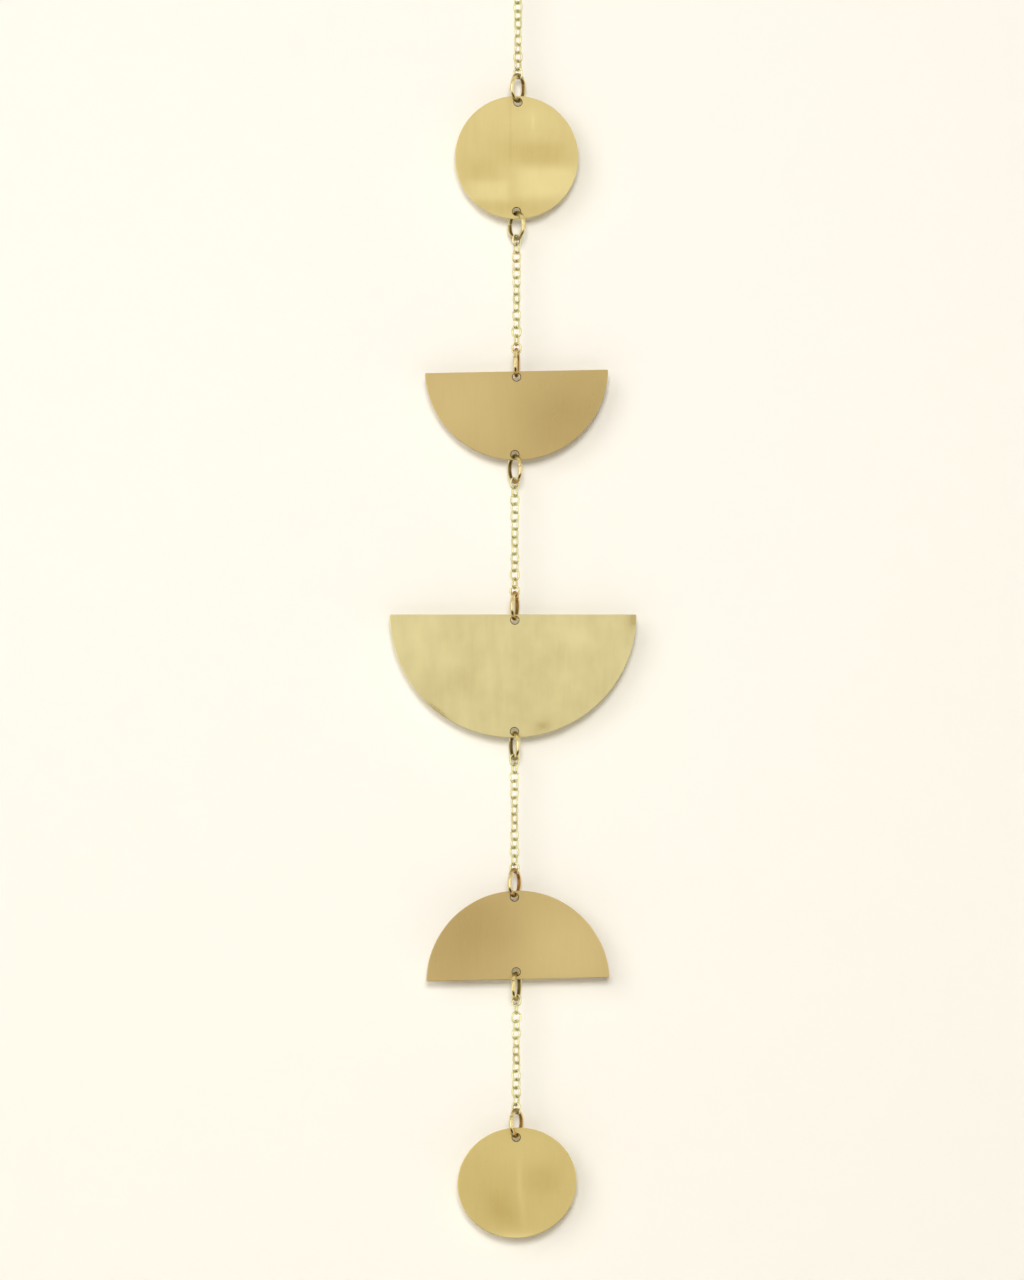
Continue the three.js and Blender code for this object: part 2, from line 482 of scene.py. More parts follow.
class BentWireTree:
    """Geometry nodes that bend a wire into a link, with its cut, and hang as many of them as a run needs."""

    SEED = 11
    FIELDS: dict[str, tuple[str, ...]] = {
        "Float": ("Wire", "Inside width", "Inside length", "Cut", "Cut at", "Spring", "Pitch", "Step turn",
                  "Lay", "At top", "At foot", "Settle", "Sway", "Sway step", "Sway start"),
        "Int": ("Bends", "Round wire", "Links"),
        "Vector": ("First middle",),
        "Material": ("Finish",),
    }

    def __init__(self) -> None:
        """Builds the tree once, for every ring and chain to use."""
        self.tree = bpy.data.node_groups.new("bent_wire", "GeometryNodeTree")
        self.tree.interface.new_socket("Geometry", in_out="OUTPUT", socket_type="NodeSocketGeometry")
        self.sockets: dict[str, str] = {}
        for kind, names in self.FIELDS.items():
            for name in names:
                made = self.tree.interface.new_socket(name, in_out="INPUT", socket_type=f"NodeSocket{kind}")
                self.sockets[name] = made.identifier
        self.bench = Bench(self.tree)
        self.given = self.bench.node("NodeGroupInput")
        self.bench.node("NodeGroupOutput", {0: self.hang(self.bend())})

    def size(self, name: str) -> Tap:
        """One of the tree's inputs."""
        return Tap(self.tree, self.given.outputs[name])

    def bend(self) -> Tap:
        """One link: an arc of wire that stops short at its cut, drawn out along Z and sprung along Y.

        Returns:
            The link's mesh, standing in the XZ plane about its middle.
        """
        bench = self.bench
        middle = (self.size("Inside width") + self.size("Wire")) / 2.0
        cut_angle = self.size("Cut") / middle
        start = self.size("Cut at") + cut_angle / 2.0
        arc = bench.tap("GeometryNodeCurveArc", {
            "Resolution": self.size("Bends"), "Radius": middle, "Start Angle": start,
            "Sweep Angle": math.tau - cut_angle}, mode="RADIUS")
        upright = bench.tap("GeometryNodeTransform", {
            "Geometry": arc, "Rotation": (math.radians(90), 0.0, 0.0)})
        height = bench.parts(bench.tap("GeometryNodeInputPosition"))[2]
        drawn_out = (self.size("Inside length") - self.size("Inside width")) / 2.0
        lift = height.sum("SIGN", height) * drawn_out
        along = bench.tap("GeometryNodeSplineParameter", output="Factor")
        aside = (along - 0.5) * self.size("Spring")
        shift = bench.tap("ShaderNodeCombineXYZ", {1: aside, 2: lift})
        drawn = bench.tap("GeometryNodeSetPosition", {"Geometry": upright, "Offset": shift})
        profile = bench.tap("GeometryNodeCurvePrimitiveCircle", {
            "Resolution": self.size("Round wire"), "Radius": self.size("Wire") / 2.0}, mode="RADIUS")
        wire = bench.tap("GeometryNodeCurveToMesh", {
            "Curve": drawn, "Profile Curve": profile, "Fill Caps": True})
        smooth = bench.tap("GeometryNodeSetShadeSmooth", {"Geometry": wire})
        return self.mark_inside(smooth, drawn_out, middle)

    def mark_inside(self, wire: Tap, drawn_out: Tap, middle: Tap) -> Tap:
        """Marks how far each point of the wire faces the inside of its link, where the finish paints shade,
        with some tarnish.

        Args:
            wire: The link's mesh.
            drawn_out: How far each half is drawn out along Z.
            middle: The radius of the wire's middle.

        Returns:
            The mesh with the mark stored on its points.
        """
        bench = self.bench
        across, _, height = bench.parts(bench.tap("GeometryNodeInputPosition"))
        right, _, up = bench.parts(bench.tap("GeometryNodeInputNormal"))
        from_bend = height - height.sum("SIGN", height) * drawn_out
        inward = (across * right + from_bend * up) / middle * -1.0
        to_end = height.sum("ABSOLUTE", height) / (self.size("Inside length") / 2.0)
        return bench.store(bench.store(wire, "inward", inward), "to_end", to_end)

    def hang(self, link: Tap) -> Tap:
        """Hangs copies of a link one below the other, each turned by its place in the run.

        Args:
            link: The link's mesh.

        Returns:
            The whole run, in its material.
        """
        bench = self.bench
        drop = bench.tap("ShaderNodeCombineXYZ", {2: self.size("Pitch") * -1.0})
        places = bench.tap("GeometryNodeMeshLine", {
            "Count": self.size("Links"), "Start Location": self.size("First middle"),
            "Offset": drop}, mode="OFFSET")
        index = bench.tap("GeometryNodeInputIndex")
        to_last = self.size("Links") - 1.0 - index
        from_top = self.size("Settle") ** index
        from_foot = self.size("Settle") ** to_last
        swing = index * self.size("Sway step") + self.size("Sway start")
        sway = swing.sum("SINE", swing) * self.size("Sway") * (1.0 - from_top) * (1.0 - from_foot)
        turn = index * self.size("Step turn") + self.size("Lay") + sway
        turn = turn + from_top * self.size("At top") + from_foot * self.size("At foot")
        facing = bench.tap("FunctionNodeEulerToRotation", {
            0: bench.tap("ShaderNodeCombineXYZ", {2: turn})})
        hung = bench.tap("GeometryNodeInstanceOnPoints", {
            "Points": places, "Instance": link, "Rotation": facing})
        chance = bench.tap("FunctionNodeRandomValue", {"Seed": self.SEED}, output=1, data_type="FLOAT")
        toned = bench.store(hung, "own_tone", chance, "INSTANCE")
        real = bench.tap("GeometryNodeRealizeInstances", {"Geometry": toned})
        return bench.tap("GeometryNodeSetMaterial", {"Geometry": real, "Material": self.size("Finish")})

    def make(self, name: str, values: dict[str, object]) -> bpy.types.Object:
        """Makes a plain mesh object from the tree.

        Args:
            name: The object's name.
            values: A value for each of the tree's inputs.

        Returns:
            The object, at the origin, with no modifier left.
        """
        piece = add_object(name, bpy.data.meshes.new(name))
        modifier = piece.modifiers.new("bent wire", "NODES")
        modifier.node_group = self.tree
        for label, value in values.items():
            modifier[self.sockets[label]] = value
        depsgraph = bpy.context.evaluated_depsgraph_get()
        mesh = bpy.data.meshes.new_from_object(piece.evaluated_get(depsgraph), depsgraph=depsgraph)
        piece.modifiers.remove(modifier)
        mesh.name = name
        piece.data = mesh
        mesh.materials.clear()
        mesh.materials.append(values["Finish"])
        return piece


@dataclass
class WireRing:
    """A ring bent from round wire, with a cut whose ends don't quite meet."""

    node: str
    inside: float
    turn: float
    finish: bpy.types.Material
    cut: float = 0.1 * MM
    cut_at: float = 70.0
    spring: float = 0.12 * MM
    bends: int = 72
    round_wire: int = 20

    def middle(self) -> Vector:
        """The ring's middle, from the frame."""
        low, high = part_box(self.node)
        return (low + high) / 2

    def inner_foot(self) -> Vector:
        """The lowest point inside the ring, where the next piece bears."""
        return self.middle() - Vector((0, 0, self.inside / 2))

    def build(self, tree: BentWireTree) -> bpy.types.Object:
        """Makes the ring.

        Args:
            tree: The tree that bends wire.

        Returns:
            The finished ring.
        """
        return tree.make(f"{self.node}_wire", {
            "Wire": RING_WIRE, "Inside width": self.inside, "Inside length": self.inside,
            "Cut": self.cut, "Cut at": math.radians(self.cut_at), "Spring": self.spring,
            "Bends": self.bends, "Round wire": self.round_wire, "Links": 1, "Pitch": 0.0,
            "First middle": self.middle(), "Step turn": 0.0, "Lay": math.radians(90 + self.turn),
            "At top": 0.0, "At foot": 0.0, "Settle": 1.0, "Sway": 0.0, "Sway step": 0.0, "Sway start": 0.0,
            "Finish": self.finish})


@dataclass
class ChainRun:
    """A run of cable chain between two rings: single wire links, each across the one before."""

    node: str
    above: WireRing
    below: WireRing
    finish: bpy.types.Material
    links: int = LINKS
    cut: float = 0.05 * MM
    cut_at: float = 28.0
    bends: int = 34
    round_wire: int = 12

    def turn_from_lay(self, turn: float) -> float:
        """How far a turn is from the one that links settle at, half turns left out.

        Args:
            turn: The turn in degrees.

        Returns:
            The way between them in degrees.
        """
        away = turn - LINK_LAY
        return away - 180.0 * math.floor(away / 180.0 + 0.5)

    def build(self, tree: BentWireTree) -> bpy.types.Object:
        """Makes the run.

        Args:
            tree: The tree that bends wire.

        Returns:
            The finished run.
        """
        top = self.above.inner_foot() + Vector((0, 0, SLACK))
        at_foot = self.turn_from_lay(self.below.turn - 90.0 * (self.links - 1))
        return tree.make(f"{self.node}_links", {
            "Wire": LINK_WIRE, "Inside width": LINK_INSIDE_WIDTH, "Inside length": LINK_INSIDE_LENGTH,
            "Cut": self.cut, "Cut at": math.radians(self.cut_at), "Spring": 0.0,
            "Bends": self.bends, "Round wire": self.round_wire, "Links": self.links, "Pitch": LINK_PITCH,
            "First middle": top - Vector((0, 0, LINK_INSIDE_LENGTH / 2)),
            "Step turn": math.radians(90), "Lay": math.radians(LINK_LAY),
            "At top": math.radians(self.turn_from_lay(self.above.turn)), "At foot": math.radians(at_foot),
            "Settle": LINK_SETTLE, "Sway": math.radians(LINK_SWAY), "Sway step": math.radians(SWAY_STEP),
            "Sway start": math.radians(self.above.turn), "Finish": self.finish})


def turned(right: float, up: float, degrees: float) -> Vector:
    """A point seen from the front, turned anticlockwise about the middle.

    Args:
        right: Its way to the right.
        up: Its way up.
        degrees: The turn.

    Returns:
        The turned point.
    """
    level, slope = math.cos(math.radians(degrees)), math.sin(math.radians(degrees))
    return Vector((right * level - up * slope, right * slope + up * level))


@dataclass(frozen=True)
class Hole:
    """A hole: its middle from the middle of the round, and the metal left between it and the edge."""

    across: float
    metal: float


@dataclass
class Moon:
    """A moon cut from sheet brass, hung by a hole, with eased edges and the slight wave of hand cut sheet.

    turn is how far an oval is turned and lean how far the moon hangs askew, both anticlockwise in degrees.
    """

    node: str
    phase: Phase
    half_width: float
    half_height: float
    above: WireRing
    finish: MoonBrass
    top_hole: Hole
    foot_hole: Hole | None = None
    saw_loss: float = 0.0
    turn: float = 0.0
    lean: float = 0.0
    edge_round: float = 0.22 * MM
    corner_ease: float = 0.45 * MM
    outline_step: float = 0.55 * MM
    mesh_step: float = 1.1 * MM
    guard_inset: float = 1.3
    guard_clear: float = 0.2
    grid_clear: float = 0.55
    wave: float = 0.05 * MM
    waves_per_metre: float = 32.0
    swells_per_metre: float = 14.0
    seed: float = 0.0
    bevel_rows: int = 4
    hole_points: int = 36
    corner_points: int = 5
    loops: list[list[Vector]] = field(default_factory=list)

    def reach(self) -> tuple[float, float]:
        """The heights of the outline's top and foot from the middle of the round."""
        slant = math.radians(self.turn)
        tallest = math.hypot(self.half_width * math.sin(slant), self.half_height * math.cos(slant))
        if self.phase is Phase.FULL:
            return tallest, -tallest
        if self.phase is Phase.HALF_EDGE_UP:
            return -self.saw_loss, -self.half_height
        return self.half_height, self.saw_loss

    def hole_middles(self) -> list[Vector]:
        """The middles of the holes, from the middle of the round, top hole first."""
        top, foot = self.reach()
        middles = [Vector((self.top_hole.across, top - self.top_hole.metal - HOLE_RADIUS))]
        if self.foot_hole:
            middles.append(Vector((self.foot_hole.across, foot + self.foot_hole.metal + HOLE_RADIUS)))
        return middles

    def middle(self) -> Vector:
        """The middle of the round in the frame, found from the ring that the moon hangs on."""
        hung = self.above.inner_foot() + Vector((0, 0, SLACK - HOLE_RADIUS))
        offset = self.leaned(self.hole_middles()[0])
        return Vector((hung.x - offset.x, 0.0, hung.z - offset.y))

    def leaned(self, point: Vector) -> Vector:
        """A point of the outline after the moon leans."""
        return turned(point.x, point.y, self.lean)

    def outline(self) -> list[Vector]:
        """The outline, anticlockwise from the front, its corners eased.

        Returns:
            The outline's points, from the middle of the round.
        """
        if self.phase is Phase.FULL:
            count = round(math.pi * (self.half_width + self.half_height) / self.outline_step)
            angles = [math.tau * i / count for i in range(count)]
            return [turned(self.half_width * math.cos(angle), self.half_height * math.sin(angle), self.turn)
                    for angle in angles]
        radius = self.half_width
        first = math.asin(self.saw_loss / radius)
        corner = Vector((math.cos(first), math.sin(first))) * radius
        ease = self.corner_ease / radius
        start = first + ease
        sweep = math.pi - 2 * start
        steps = round(radius * sweep / self.outline_step)
        arc = [Vector((math.cos(start + sweep * i / steps), math.sin(start + sweep * i / steps))) * radius
               for i in range(steps + 1)]
        left = Vector((-corner.x, corner.y))
        straight_start = left + Vector((self.corner_ease, 0))
        straight_end = corner - Vector((self.corner_ease, 0))
        points = arc + self.eased(arc[-1], left, straight_start)
        steps = round((straight_end.x - straight_start.x) / self.outline_step)
        points += [straight_start.lerp(straight_end, i / steps) for i in range(1, steps + 1)]
        points += self.eased(straight_end, corner, arc[0])[:-1]
        if self.phase is Phase.HALF_EDGE_UP:
            points = [-point for point in points]
        return points

    def eased(self, start: Vector, corner: Vector, end: Vector) -> list[Vector]:
        """The points after start of a small curve that takes off a corner.

        Args:
            start: Where the curve leaves the outline.
            corner: The sharp corner.
            end: Where it joins the outline again.

        Returns:
            Its points, the last of them at end.
        """
        shares = [i / self.corner_points for i in range(1, self.corner_points + 1)]
        return [start.lerp(corner, share).lerp(corner.lerp(end, share), share) for share in shares]

    def inset(self, loop: list[Vector], distance: float) -> list[Vector]:
        """A loop moved into the metal: to the left of its way round.

        Args:
            loop: A closed loop with the metal on its left.
            distance: How far to move it.

        Returns:
            The moved loop, with as many points.
        """
        moved: list[Vector] = []
        for i, point in enumerate(loop):
            before = (point - loop[i - 1]).normalized()
            after = (loop[(i + 1) % len(loop)] - point).normalized()
            mean = (before + after).normalized()
            left = Vector((-mean.y, mean.x))
            spread = left.dot(Vector((-after.y, after.x)))
            moved.append(point + left * (distance / spread))
        return moved

    def holes(self) -> list[list[Vector]]:
        """The holes' rims, clockwise, so that the metal is on their left."""
        angles = [-math.tau * i / self.hole_points for i in range(self.hole_points)]
        return [[centre + Vector((math.cos(angle), math.sin(angle))) * HOLE_RADIUS for angle in angles]
                for centre in self.hole_middles()]

    def flat(self) -> tuple[list[Vector], list[tuple[int, int, int]], int]:
        """Triangulates the flat of the moon inside its rounded edges.

        Returns:
            The points, rim points first in the order of the loops, the triangles, and how many are on rims.
        """
        rims = [self.inset(loop, self.edge_round) for loop in self.loops]
        guards = [self.inset(loop, self.edge_round * self.guard_inset) for loop in self.loops]
        points = [point for rim in rims for point in rim]
        rim_count = len(points)
        edges: list[tuple[int, int]] = []
        start = 0
        for rim in rims:
            edges += [(start + i, start + (i + 1) % len(rim)) for i in range(len(rim))]
            start += len(rim)
        clear = self.edge_round * self.guard_clear
        points += [point for guard in guards for point in guard if self.between(rims, point)
                   and min((point - rim_point).length for rim_point in points[:rim_count]) > clear]
        points += self.grid(guards)
        made = delaunay_2d_cdt(points, edges, [], 1, 1e-9)
        place = {old: new for new, olds in enumerate(made[3]) for old in olds}
        order = [place[i] for i in range(rim_count)]
        taken = set(order)
        order += [i for i in range(len(made[0])) if i not in taken]
        number = {old: new for new, old in enumerate(order)}
        flat_points = [Vector(made[0][old]) for old in order]
        triangles: list[tuple[int, int, int]] = []
        for face in made[2]:
            centre = sum((Vector(made[0][i]) for i in face), Vector((0.0, 0.0))) / 3
            if self.between(rims, centre):
                triangles.append(tuple(number[i] for i in face))
        return flat_points, triangles, rim_count

    def grid(self, guards: list[list[Vector]]) -> list[Vector]:
        """Points inside the flat, on a triangular grid, clear of its rims.

        Args:
            guards: The loops that the points keep away from.

        Returns:
            The points.
        """
        step = self.mesh_step
        row_step = step * math.sqrt(3) / 2
        rows = math.ceil(self.half_height / row_step)
        columns = math.ceil(self.half_width / step)
        inside: list[Vector] = []
        for row in range(-rows, rows + 1):
            for column in range(-columns, columns + 1):
                point = Vector(((column + 0.5 * (row % 2)) * step, row * row_step))
                if self.between(guards, point) and all(
                        min((point - q).length for q in guard) > self.grid_clear * step for guard in guards):
                    inside.append(point)
        return inside

    def between(self, loops: list[list[Vector]], point: Vector) -> bool:
        """Whether a point is inside the first loop and outside all the others."""
        return self.encloses(loops[0], point) and not any(self.encloses(loop, point) for loop in loops[1:])

    def encloses(self, loop: list[Vector], point: Vector) -> bool:
        """Whether a closed loop runs round a point.

        Args:
            loop: The loop's points.
            point: The point.

        Returns:
            True where the point is inside the loop.
        """
        crossings = 0
        for i, b in enumerate(loop):
            a = loop[i - 1]
            if (a.y > point.y) != (b.y > point.y):
                if point.x < a.x + (point.y - a.y) / (b.y - a.y) * (b.x - a.x):
                    crossings += 1
        return crossings % 2 == 1

    def waved(self, point: Vector) -> float:
        """How far the sheet stands back at a point: a slow wave, as in sheet cut and rubbed by hand.

        Args:
            point: The point, from the middle of the round.

        Returns:
            The way back, below 0 for forward.
        """
        waves, swells = point * self.waves_per_metre, point * self.swells_per_metre
        wave = noise.noise(Vector((waves.x, waves.y, self.seed)))
        swell = noise.noise(Vector((swells.x, swells.y, self.seed + 5)))
        return self.wave * (wave + 1.6 * swell)

    def build(self) -> bpy.types.Object:
        """Makes the moon as one closed mesh: two flats joined by rounded edges.

        Returns:
            The finished moon.
        """
        self.loops = [self.outline()] + self.holes()
        flat_points, triangles, rim_count = self.flat()
        middle = self.middle()
        half = SHEET_THICKNESS / 2
        vertices: list[Vector] = []
        rim_marks: list[float] = []

        def add(point: Vector, back: float, rim_mark: float) -> int:
            """Adds a vertex and returns its number."""
            leaned = self.leaned(point)
            vertices.append(Vector((middle.x + leaned.x, back + self.waved(point), middle.z + leaned.y)))
            rim_marks.append(rim_mark)
            return len(vertices) - 1

        edge_count = len(self.loops[0])
        flat_rim_marks = [RIM_WEAR_AND_HIGHLIGHT_MARK] * edge_count + [HOLE_SHADE_MARK] * (rim_count - edge_count)
        flat_rim_marks += [0.0] * (len(flat_points) - rim_count)
        front = [add(point, -half, rim_mark) for point, rim_mark in zip(flat_points, flat_rim_marks)]
        rear = [add(point, half, rim_mark) for point, rim_mark in zip(flat_points, flat_rim_marks)]
        faces: list[tuple[int, ...]] = [tuple(front[i] for i in triangle) for triangle in triangles]
        faces += [tuple(rear[i] for i in reversed(triangle)) for triangle in triangles]
        start = 0
        for loop in self.loops:
            count = len(loop)
            rim_mark = HOLE_SHADE_MARK if start else RIM_WEAR_AND_HIGHLIGHT_MARK
            bends = range(1, self.bevel_rows + 1)
            rows = [front[start:start + count]]
            for side, bend in [(-1, bend) for bend in bends] + [(1, bend) for bend in reversed(bends)]:
                angle = math.pi / 2 * bend / self.bevel_rows
                ring = self.inset(loop, self.edge_round * (1 - math.sin(angle)))
                back = side * (half - self.edge_round * (1 - math.cos(angle)))
                rows.append([add(point, back, rim_mark) for point in ring])
            rows.append(rear[start:start + count])
            for near, far in zip(rows, rows[1:]):
                for i in range(count):
                    j = (i + 1) % count
                    faces.append((near[j], near[i], far[i], far[j]))
            start += count
        mesh = bpy.data.meshes.new(f"{self.node}_sheet")
        mesh.from_pydata([tuple(v) for v in vertices], [], faces)
        mesh.attributes.new("rim_mark", "FLOAT", "POINT").data.foreach_set("value", rim_marks)
        mesh.shade_smooth()
        mesh.materials.append(self.finish.build(middle))
        return add_object(f"{self.node}_sheet", mesh)


def settle(piece: bpy.types.Object, node: str) -> None:
    """Ties a finished piece to the frame and reports it.

    Args:
        piece: The piece.
        node: The node that it stands for.
    """
    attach(piece, BODY)
    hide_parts(node)
    low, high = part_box(node)
    corners = [Vector(v.co) for v in piece.data.vertices]
    over = max(max(low[i] - corner[i], corner[i] - high[i]) for corner in corners for i in range(3))
    LOG.info("%s: %d faces, reaches %.3f mm past its node", piece.name, len(piece.data.polygons), over / MM)


@dataclass
class Strand:
    """The whole hanging from the hanging ring down."""

    ring_brass: bpy.types.Material
    chain_brass: bpy.types.Material
    tree: BentWireTree

    def ring(self, node: str, turn: float, cut_at: float, inside: float = JUMP_RING_INSIDE) -> WireRing:
        """A ring of this strand, its front swung to the right and its cut placed by angles in degrees."""
        return WireRing(node, inside, turn, self.ring_brass, cut_at=cut_at)

    def build(self, moons: list[Moon], carriers: list[WireRing]) -> list[bpy.types.Object]:
        """Builds every piece and ties it to the frame.

        Args:
            moons: The moons from the top down, each with the ring above it.
            carriers: The rings that the chains above them hang from, in the same order.

        Returns:
            The finished rings and moons.
        """
        shading: list[bpy.types.Object] = []
        chains = ["hanging_chain"] + [f"chain_to_{moon.node}" for moon in moons[1:]]
        for moon, carrier, chain in zip(moons, carriers, chains):
            run = ChainRun(chain, carrier, moon.above, self.chain_brass)
            settle(run.build(self.tree), chain)
            for ring in (carrier, moon.above):
                shading.append(ring.build(self.tree))
                settle(shading[-1], ring.node)
            shading.append(moon.build())
            settle(shading[-1], moon.node)
        return shading


@dataclass(frozen=True)
class Card:
    """A soft square light that faces the strand and doesn't show in the metal."""

    name: str
    place: tuple[float, float, float]
    side: float
    power: float
    colour: tuple[float, float, float]

    def build(self, target: Vector) -> bpy.types.Object:
        """Sets the light up.

        Args:
            target: What it faces, and where its place is measured from.

        Returns:
            The light.
        """
        light = bpy.data.lights.new(self.name, "AREA")
        light.size = self.side
        light.energy = self.power
        light.color = self.colour
        lamp = add_object(self.name, light)
        lamp.location = target + Vector(self.place)
        lamp.rotation_euler = (-Vector(self.place)).to_track_quat("-Z", "Y").to_euler()
        lamp.visible_glossy = False
        return lamp


@dataclass(frozen=True)
class Glint:
    """A bright upright box that only the metal sees: how far right it is, its half width and its light."""

    right: float
    wide: float
    light: Colour


@dataclass(frozen=True)
class Studio:
    """A pale wall and floor, soft light from the upper left and a camera straight in front."""

    wall_gap: float = 8.5 * MM
    wall_size: float = 3.0
    floor_drop: float = 0.52
    camera_distance: float = 1.6
    sensor: float = 36.0
    wall_colour: Colour = (0.93, 0.91, 0.86, 1.0)
    floor_colour: Colour = (0.86, 0.84, 0.78, 1.0)
    surroundings: Colour = (0.52, 0.48, 0.32, 1.0)
    window: Colour = (0.92, 0.89, 0.81, 1.0)
    overhead: Colour = (0.7, 0.68, 0.5, 1.0)
    underfoot: Colour = (0.04, 0.03, 0.01, 1.0)
    behind: Colour = (0.95, 0.9, 0.8, 1.0)
    glints: tuple[Glint, ...] = (
        Glint(-0.58, 0.14, (2.6, 2.5, 2.2, 1.0)),
        Glint(0.72, 0.1, (2.0, 1.9, 1.65, 1.0)))
    key: Card = Card("key", (-1.45, -2.3, 1.05), 2.0, 32.5, (1.0, 0.95, 0.87))
    wall_light: Card = Card("wall_light", (0.0, -1.75, 0.38), 0.4, 18.2, (1.0, 0.99, 0.97))

    def paint(self, name: str, colour: Colour, clear_behind: bool) -> bpy.types.Material:
        """A matt paint.

        Args:
            name: The material's name.
            colour: Its linear colour.
            clear_behind: Whether the paint shows from its front only.

        Returns:
            The material.
        """
        material, bench, shader = new_material(name)
        bench.fill(shader, {"Base Color": colour, "Roughness": 0.9, "Specular IOR Level": 0.1})
        if clear_behind:
            side = bench.tap("ShaderNodeNewGeometry", output="Backfacing")
            both = bench.tap("ShaderNodeMixShader", {
                0: side, 1: Tap(bench.tree, shader.outputs[0]), 2: bench.tap("ShaderNodeBsdfTransparent")})
            bench.fill(material.node_tree.nodes["Material Output"], {0: both})
        return material

    def plane(self, name: str, corners: list[tuple[float, float, float]], paint: bpy.types.Material) -> None:
        """A flat stage piece.

        Args:
            name: The object's name.
            corners: Its corners, anticlockwise from its front.
            paint: Its material.
        """
        mesh = bpy.data.meshes.new(name)
        mesh.from_pydata(corners, [], [(0, 1, 2, 3)])
        mesh.materials.append(paint)
        stage = add_object(name, mesh)
        stage.visible_glossy = False

    def room(self) -> None:
        """The wall, the floor and the light that comes from all round."""
        half, gap, drop = self.wall_size / 2, self.wall_gap, -self.floor_drop
        upright = [(-half, gap, drop), (half, gap, drop), (half, gap, half), (-half, gap, half)]
        level = [(-half, -half, drop), (half, -half, drop), (half, half, drop), (-half, half, drop)]
        self.plane("wall", upright, self.paint("wall_paint", self.wall_colour, True))
        self.plane("floor", level, self.paint("floor_paint", self.floor_colour, False))
        world = bpy.data.worlds.new("room_light")
        bpy.context.scene.world = world
        world.use_nodes = True
        bench = Bench(world.node_tree)
        right, away, up = bench.parts(bench.tap("ShaderNodeTexCoord", output="Generated"))
        window = 1.0 - bench.ramp(right * right, 0.16, 0.42)
        lit = bench.mix(window, self.surroundings, self.window)
        lit = bench.mix(bench.ramp(up, 0.47, 0.75), lit, self.overhead)
        lit = bench.mix(bench.ramp(up, -0.45, -0.7), lit, self.underfoot)
        for glint in self.glints:
            aside = right - glint.right
            edge = glint.wide * glint.wide
            box = (1.0 - bench.ramp(aside * aside, edge * 0.4, edge)) * (1.0 - bench.ramp(up * up, 0.12, 0.3))
            lit = bench.mix(box, lit, glint.light)
        colour = bench.mix(bench.ramp(away, -0.3, 0.05), lit, self.behind)
        bench.fill(world.node_tree.nodes["Background"], {"Color": colour})
        world.cycles_visibility.diffuse = False

    def lights(self, target: Vector, shading: list[bpy.types.Object]) -> None:
        """The key light from the upper left, and a light above the camera that brings up the wall.

        Args:
            target: What the lights face.
            shading: The pieces heavy enough to shade the wall from the second light.
        """
        self.key.build(target)
        heavy = bpy.data.collections.new("shading_pieces")
        for piece in shading:
            heavy.objects.link(piece)
        self.wall_light.build(target).light_linking.blocker_collection = heavy

    def camera(self) -> Vector:
        """Sets up the camera square to the strand, framed as the photograph is.

        Returns:
            The point that the camera faces.
        """
        target = Vector(((IMAGE_WIDTH / 2 - NAIL_COLUMN) * PIXEL, 0.0, (NAIL_ROW - IMAGE_HEIGHT / 2) * PIXEL))
        data = bpy.data.cameras.new("camera")
        data.sensor_fit = "VERTICAL"
        data.sensor_height = self.sensor
        data.sensor_width = self.sensor
        data.lens = self.sensor * self.camera_distance / (IMAGE_HEIGHT * PIXEL)
        data.dof.use_dof = False
        camera = add_object("camera", data)
        camera.location = target + Vector((0, -self.camera_distance, 0))
        camera.rotation_euler = (math.radians(90), 0, 0)
        bpy.context.scene.camera = camera
        return target


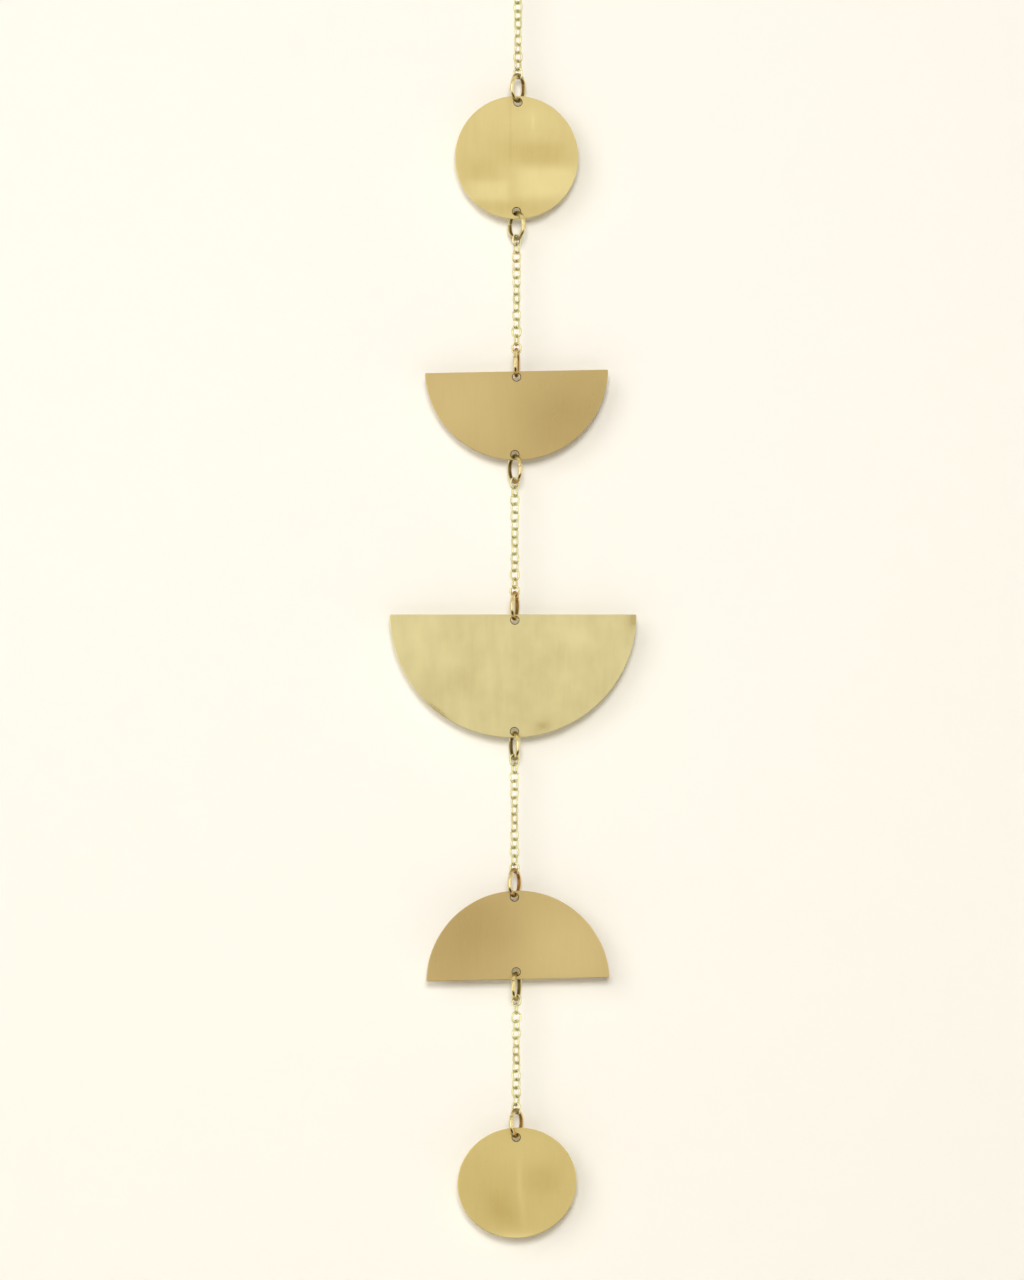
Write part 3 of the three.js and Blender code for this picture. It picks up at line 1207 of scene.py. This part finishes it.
def moon_finishes() -> dict[str, MoonBrass]:
    """The finish of each moon, with the broad tones that it shows: most patches are painted reflection of the
    room, lighter and darker, and the three small sharp dark ones on the large half moon are real spots. Each
    moon's colours follow how bright it looks, so part of their difference between moons is painted reflection.

    Returns:
        Node name to finish.
    """
    finishes = (
        MoonBrass("upper_full_moon", (0.965, 0.84, 0.44, 1.0), (0.63, 0.48, 0.18, 1.0), (
            ReflectionAndSpotPatch(9.2, -7.8, 9.0, 4.7, 0.34, 3.0),
            ReflectionAndSpotPatch(-8.8, -10.2, 5.9, 2.9, 0.28, 3.0),
            ReflectionAndSpotPatch(-1.3, -9.0, 1.3, 7.0, -0.1),
            ReflectionAndSpotPatch(8.0, 1.2, 9.0, 3.6, -0.28, 2.0),
            ReflectionAndSpotPatch(-11.0, -4.0, 5.0, 4.0, -0.18),
            ReflectionAndSpotPatch(-3.0, -15.4, 11.0, 2.2, -0.2),
            ReflectionAndSpotPatch(-1.9, 9.0, 0.4, 9.0, -0.1, 2.0),
            ReflectionAndSpotPatch(3.0, 13.0, 9.0, 4.0, 0.1),
            ReflectionAndSpotPatch(5.0, 11.0, 0.5, 2.6, 0.2))),
        MoonBrass("upper_half_moon", (0.8, 0.635, 0.31, 1.0), (0.467, 0.337, 0.131, 1.0), (
            ReflectionAndSpotPatch(-18.0, -9.0, 14.0, 14.0, 0.22),
            ReflectionAndSpotPatch(15.0, -17.5, 13.0, 10.0, -0.24),
            ReflectionAndSpotPatch(20.0, -5.0, 12.0, 9.0, -0.1)), clouds=0.12),
        MoonBrass("large_half_moon", (0.93, 0.85, 0.48, 1.0), (0.585, 0.485, 0.23, 1.0), (
            ReflectionAndSpotPatch(-31.0, -7.0, 9.0, 9.0, 0.16),
            ReflectionAndSpotPatch(31.0, -8.0, 7.0, 8.0, 0.07),
            ReflectionAndSpotPatch(-23.2, -29.9, 2.4, 0.4, -1.3, 1.2, slant=-37.8),
            ReflectionAndSpotPatch(9.2, -34.4, 1.6, 1.2, -0.45, 1.2),
            ReflectionAndSpotPatch(37.4, -1.6, 1.3, 1.9, -0.8, 1.2),
            ReflectionAndSpotPatch(17.0, -6.0, 5.0, 4.0, 0.16),
            ReflectionAndSpotPatch(-18.0, -20.0, 4.0, 3.0, -0.14)), clouds=0.5),
        MoonBrass("lower_half_moon", (0.8, 0.635, 0.31, 1.0), (0.449, 0.318, 0.122, 1.0), (
            ReflectionAndSpotPatch(15.0, 11.0, 14.0, 13.0, 0.3),
            ReflectionAndSpotPatch(-13.0, 18.0, 13.0, 9.0, -0.26),
            ReflectionAndSpotPatch(-20.0, 5.0, 10.0, 7.0, -0.1)), clouds=0.12),
        MoonBrass("lower_full_moon", (0.9, 0.755, 0.355, 1.0), (0.55, 0.41, 0.139, 1.0), (
            ReflectionAndSpotPatch(-5.7, -6.2, 5.0, 4.6, -0.22),
            ReflectionAndSpotPatch(-2.8, -10.8, 4.0, 3.4, -0.18),
            ReflectionAndSpotPatch(8.4, 1.2, 5.5, 4.5, -0.2),
            ReflectionAndSpotPatch(0.8, 0.0, 0.8, 6.5, 0.16),
            ReflectionAndSpotPatch(1.9, -8.0, 0.9, 4.5, 0.12),
            ReflectionAndSpotPatch(1.0, 10.0, 9.0, 5.0, 0.07),
            ReflectionAndSpotPatch(-13.0, 1.0, 6.0, 8.0, -0.07),
            ReflectionAndSpotPatch(0.0, -17.2, 7.0, 1.6, 0.4)), clouds=0.16),
    )
    return {finish.moon: finish for finish in finishes}


def main() -> None:
    """Builds the hanging, its room, its light and its camera."""
    logging.basicConfig(level=logging.INFO, format="%(message)s")
    studio = Studio()
    target = studio.camera()
    ring_brass = WireBrass("ring_brass_wire", (0.98, 0.9, 0.56, 1.0), (0.66, 0.5, 0.22, 1.0),
                           (0.1, 0.062, 0.008, 1.0), 0.2, shaded_ends=0.8)
    chain_brass = WireBrass("chain_brass_wire", (0.98, 0.97, 0.7, 1.0), (0.68, 0.65, 0.32, 1.0),
                            (0.14, 0.11, 0.012, 1.0), 0.26, tarnish_and_shade_from=0.6)
    strand = Strand(ring_brass.build(), chain_brass.build(), BentWireTree())
    finish = moon_finishes()
    moons = [
        Moon("upper_full_moon", Phase.FULL, FULL_MOON_RADIUS, FULL_MOON_RADIUS,
             strand.ring("ring_above_upper_full_moon", -27.0, 20.0), finish["upper_full_moon"],
             Hole(0.44 * MM, METAL_AT_HOLE), Hole(0.0, THICK_METAL_AT_HOLE), seed=1.0),
        Moon("upper_half_moon", Phase.HALF_EDGE_UP, SMALL_HALF_RADIUS, SMALL_HALF_RADIUS,
             strand.ring("ring_above_upper_half_moon", -6.0, 160.0), finish["upper_half_moon"],
             Hole(0.0, THIN_METAL_AT_HOLE), Hole(-1.0 * MM, THIN_METAL_AT_HOLE),
             saw_loss=SAW_LOSS, lean=1.1, seed=2.0),
        Moon("large_half_moon", Phase.HALF_EDGE_UP, LARGE_HALF_RADIUS, LARGE_HALF_RADIUS,
             strand.ring("ring_above_large_half_moon", -12.0, 35.0), finish["large_half_moon"],
             Hole(0.56 * MM, THIN_METAL_AT_HOLE), Hole(0.45 * MM, METAL_AT_HOLE), seed=3.0),
        Moon("lower_half_moon", Phase.HALF_EDGE_DOWN, SMALL_HALF_RADIUS, SMALL_HALF_RADIUS,
             strand.ring("ring_above_lower_half_moon", -22.0, 140.0), finish["lower_half_moon"],
             Hole(-0.5 * MM, METAL_AT_HOLE), Hole(-0.45 * MM, THICK_METAL_AT_HOLE),
             saw_loss=SAW_LOSS, lean=1.25, seed=4.0),
        Moon("lower_full_moon", Phase.FULL, OVAL_HALF_WIDTH, OVAL_HALF_HEIGHT,
             strand.ring("ring_above_lower_full_moon", -24.0, 150.0), finish["lower_full_moon"],
             Hole(-0.22 * MM, OVAL_METAL_AT_HOLE), turn=9.5, seed=5.0),
    ]
    carriers = [
        strand.ring("hanging_ring", 90.0, 200.0, HANGING_RING_INSIDE),
        strand.ring("ring_below_upper_full_moon", 32.0, 10.0),
        strand.ring("ring_below_upper_half_moon", 25.0, 170.0),
        strand.ring("ring_below_large_half_moon", 16.0, 25.0),
        strand.ring("ring_below_lower_half_moon", -14.0, 155.0),
    ]
    shading = strand.build(moons, carriers)
    studio.room()
    studio.lights(target, shading)
    bpy.context.scene.view_settings.view_transform = "Standard"


if __name__ == "__main__":
    main()
